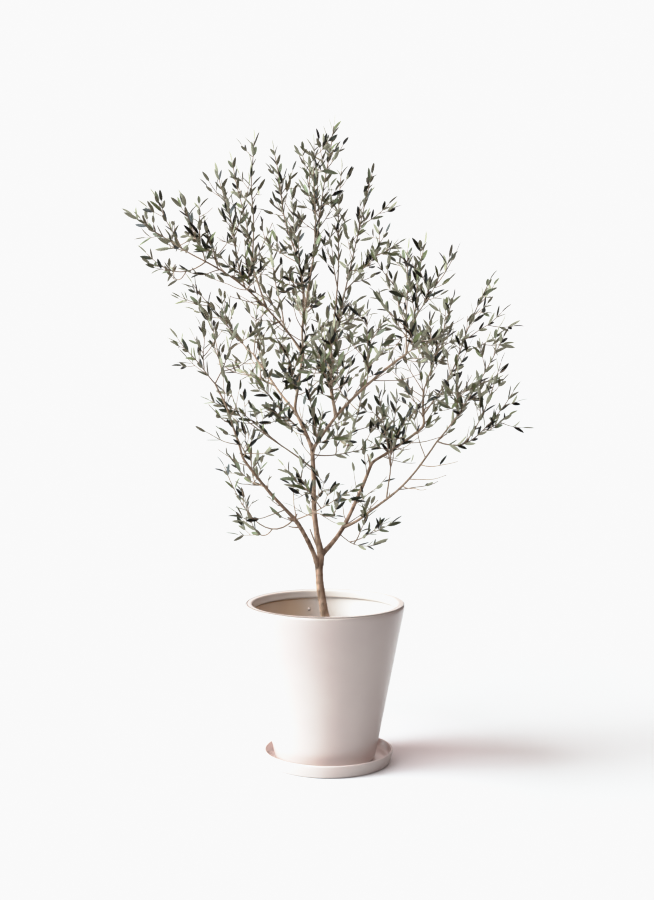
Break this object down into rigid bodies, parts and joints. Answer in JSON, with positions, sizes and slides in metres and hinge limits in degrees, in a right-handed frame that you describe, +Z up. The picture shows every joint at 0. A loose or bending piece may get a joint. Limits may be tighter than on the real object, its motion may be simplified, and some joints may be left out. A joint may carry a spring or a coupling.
{
  "type": "potted olive tree",
  "caption": "Young olive tree with an open, airy crown of narrow grey-green leaves on a slim forked trunk, in a tapered round glazed pot standing in its saucer.",
  "frame": {"origin": "centre of the saucer's flat underside, on the floor", "axes": "+Z up, +X to the right of the pictured view, +Y away from it"},
  "size_m": [0.6594, 0.4748, 1.0958],
  "materials": {
    "glaze": "gloss",
    "soil": "matte",
    "bark": "matte",
    "foliage": "satin"
  },
  "bodies": {
    "root": {"saucer": "glaze", "pot": "glaze", "soil": "soil", "trunk": "bark", "left_foot": "bark", "left_bough": "bark", "left_rise": "bark", "right_bough": "bark", "right_arm": "bark", "right_rise": "bark", "low_right_bough": "bark", "leader_low": "bark", "leader_mid": "bark", "leader_top": "bark", "mid_left_bough": "bark", "upper_left_bough": "bark", "centre_right_bough": "bark", "centre_rise": "bark", "low_left_whip": "foliage", "low_left_tuft": "foliage", "low_mid_spray": "foliage", "left_fan": "foliage", "left_tip": "foliage", "left_inner": "foliage", "cross_left": "foliage", "cross_left_rise": "foliage", "mid_left_rise": "foliage", "mid_left_out": "foliage", "mid_left_back": "foliage", "far_left_low": "foliage", "far_left": "foliage", "upper_left_fan": "foliage", "upper_left_knot": "foliage", "upper_left_rise": "foliage", "upper_left_crest": "foliage", "upper_left_front": "foliage", "upper_left_back": "foliage", "crest_left": "foliage", "crest": "foliage", "crest_right": "foliage", "right_crest": "foliage", "crest_front": "foliage", "crest_inner": "foliage", "heart_front": "foliage", "heart_left": "foliage", "heart_right": "foliage", "heart_back": "foliage", "heart_top": "foliage", "heart_low": "foliage", "leader_tuft": "foliage", "right_head": "foliage", "right_head_mid": "foliage", "right_head_low": "foliage", "right_fan": "foliage", "right_fan_out": "foliage", "right_edge": "foliage", "right_tail": "foliage", "low_right_rise": "foliage", "low_right_tuft": "foliage", "cross_right": "foliage"}
  },
  "joints": []
}
